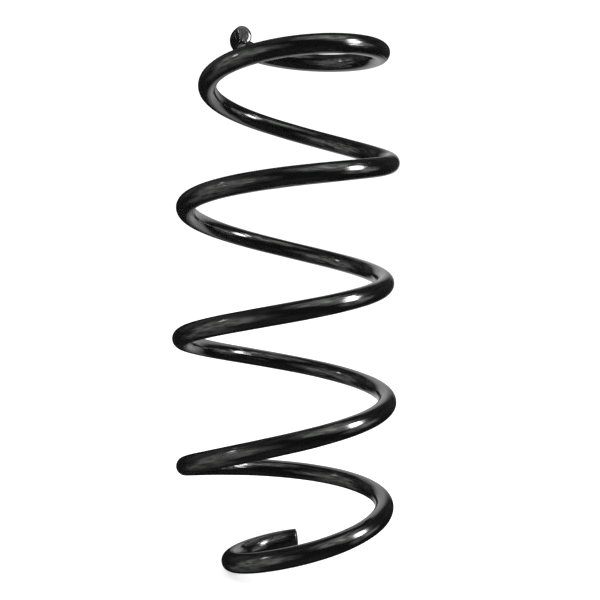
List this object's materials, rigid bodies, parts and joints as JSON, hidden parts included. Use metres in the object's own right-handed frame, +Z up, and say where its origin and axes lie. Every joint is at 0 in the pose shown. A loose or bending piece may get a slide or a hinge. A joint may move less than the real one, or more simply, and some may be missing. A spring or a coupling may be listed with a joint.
{
  "type": "coil spring",
  "caption": "Round-bar compression coil spring with inward-curled pigtail ends, for a front suspension strut; it shortens along its axis.",
  "frame": {"origin": "on the spring's axis, level with the lowest point of the bar, where the lower seat holds it", "axes": "+Z up along the spring's axis to the upper end coil; +X towards the side the lower cut end faces; -Y to the front"},
  "size_m": [0.1575, 0.158, 0.3771],
  "materials": {
    "gloss_black_coating": "gloss black powder coat over shot-peened spring steel; the cut ends are rougher and duller"
  },
  "bodies": {
    "lower_end": {"lower_end_tip": "gloss_black_coating", "lower_end_coil": "gloss_black_coating"},
    "coil_1_front_right": {"coil_1_front_right": "gloss_black_coating"},
    "coil_1_back_right": {"coil_1_back_right": "gloss_black_coating"},
    "coil_1_back_left": {"coil_1_back_left": "gloss_black_coating"},
    "coil_1_front_left": {"coil_1_front_left": "gloss_black_coating"},
    "coil_2_front_right": {"coil_2_front_right": "gloss_black_coating"},
    "coil_2_back_right": {"coil_2_back_right": "gloss_black_coating"},
    "coil_2_back_left": {"coil_2_back_left": "gloss_black_coating"},
    "coil_2_front_left": {"coil_2_front_left": "gloss_black_coating"},
    "coil_3_front_right": {"coil_3_front_right": "gloss_black_coating"},
    "coil_3_back_right": {"coil_3_back_right": "gloss_black_coating"},
    "coil_3_back_left": {"coil_3_back_left": "gloss_black_coating"},
    "coil_3_front_left": {"coil_3_front_left": "gloss_black_coating"},
    "coil_4_front_right": {"coil_4_front_right": "gloss_black_coating"},
    "coil_4_back_right": {"coil_4_back_right": "gloss_black_coating"},
    "coil_4_back_left": {"coil_4_back_left": "gloss_black_coating"},
    "coil_4_front_left": {"coil_4_front_left": "gloss_black_coating"},
    "upper_end": {"upper_end_coil_front": "gloss_black_coating", "upper_end_coil_back": "gloss_black_coating", "upper_end_tip": "gloss_black_coating"}
  },
  "joints": [
    {"name": "compression", "type": "slide", "parent": "lower_end", "child": "upper_end", "axis": [0, 0, 1], "range_m": [-0.2, 0], "stiffness_N_per_m": 25000},
    {"name": "coil_1_front_right_slide", "type": "slide", "parent": "lower_end", "child": "coil_1_front_right", "axis": [0, 0, 1], "range_m": [-0.00725, 0.001]},
    {"name": "coil_1_back_right_slide", "type": "slide", "parent": "lower_end", "child": "coil_1_back_right", "axis": [0, 0, 1], "range_m": [-0.01975, 0.001]},
    {"name": "coil_1_back_left_slide", "type": "slide", "parent": "lower_end", "child": "coil_1_back_left", "axis": [0, 0, 1], "range_m": [-0.03225, 0.001]},
    {"name": "coil_1_front_left_slide", "type": "slide", "parent": "lower_end", "child": "coil_1_front_left", "axis": [0, 0, 1], "range_m": [-0.04475, 0.001]},
    {"name": "coil_2_front_right_slide", "type": "slide", "parent": "lower_end", "child": "coil_2_front_right", "axis": [0, 0, 1], "range_m": [-0.05725, 0.001]},
    {"name": "coil_2_back_right_slide", "type": "slide", "parent": "lower_end", "child": "coil_2_back_right", "axis": [0, 0, 1], "range_m": [-0.06975, 0.001]},
    {"name": "coil_2_back_left_slide", "type": "slide", "parent": "lower_end", "child": "coil_2_back_left", "axis": [0, 0, 1], "range_m": [-0.08225, 0.001]},
    {"name": "coil_2_front_left_slide", "type": "slide", "parent": "lower_end", "child": "coil_2_front_left", "axis": [0, 0, 1], "range_m": [-0.09475, 0.001]},
    {"name": "coil_3_front_right_slide", "type": "slide", "parent": "lower_end", "child": "coil_3_front_right", "axis": [0, 0, 1], "range_m": [-0.10725, 0.001]},
    {"name": "coil_3_back_right_slide", "type": "slide", "parent": "lower_end", "child": "coil_3_back_right", "axis": [0, 0, 1], "range_m": [-0.11975, 0.001]},
    {"name": "coil_3_back_left_slide", "type": "slide", "parent": "lower_end", "child": "coil_3_back_left", "axis": [0, 0, 1], "range_m": [-0.13225, 0.001]},
    {"name": "coil_3_front_left_slide", "type": "slide", "parent": "lower_end", "child": "coil_3_front_left", "axis": [0, 0, 1], "range_m": [-0.14475, 0.001]},
    {"name": "coil_4_front_right_slide", "type": "slide", "parent": "lower_end", "child": "coil_4_front_right", "axis": [0, 0, 1], "range_m": [-0.15725, 0.001]},
    {"name": "coil_4_back_right_slide", "type": "slide", "parent": "lower_end", "child": "coil_4_back_right", "axis": [0, 0, 1], "range_m": [-0.16975, 0.001]},
    {"name": "coil_4_back_left_slide", "type": "slide", "parent": "lower_end", "child": "coil_4_back_left", "axis": [0, 0, 1], "range_m": [-0.18225, 0.001]},
    {"name": "coil_4_front_left_slide", "type": "slide", "parent": "lower_end", "child": "coil_4_front_left", "axis": [0, 0, 1], "range_m": [-0.19475, 0.001]}
  ],
  "couplings": [
    {"joint": "coil_1_front_right_slide", "follows": "compression", "ratio": 0.03125},
    {"joint": "coil_1_back_right_slide", "follows": "compression", "ratio": 0.09375},
    {"joint": "coil_1_back_left_slide", "follows": "compression", "ratio": 0.15625},
    {"joint": "coil_1_front_left_slide", "follows": "compression", "ratio": 0.21875},
    {"joint": "coil_2_front_right_slide", "follows": "compression", "ratio": 0.28125},
    {"joint": "coil_2_back_right_slide", "follows": "compression", "ratio": 0.34375},
    {"joint": "coil_2_back_left_slide", "follows": "compression", "ratio": 0.40625},
    {"joint": "coil_2_front_left_slide", "follows": "compression", "ratio": 0.46875},
    {"joint": "coil_3_front_right_slide", "follows": "compression", "ratio": 0.53125},
    {"joint": "coil_3_back_right_slide", "follows": "compression", "ratio": 0.59375},
    {"joint": "coil_3_back_left_slide", "follows": "compression", "ratio": 0.65625},
    {"joint": "coil_3_front_left_slide", "follows": "compression", "ratio": 0.71875},
    {"joint": "coil_4_front_right_slide", "follows": "compression", "ratio": 0.78125},
    {"joint": "coil_4_back_right_slide", "follows": "compression", "ratio": 0.84375},
    {"joint": "coil_4_back_left_slide", "follows": "compression", "ratio": 0.90625},
    {"joint": "coil_4_front_left_slide", "follows": "compression", "ratio": 0.96875}
  ]
}
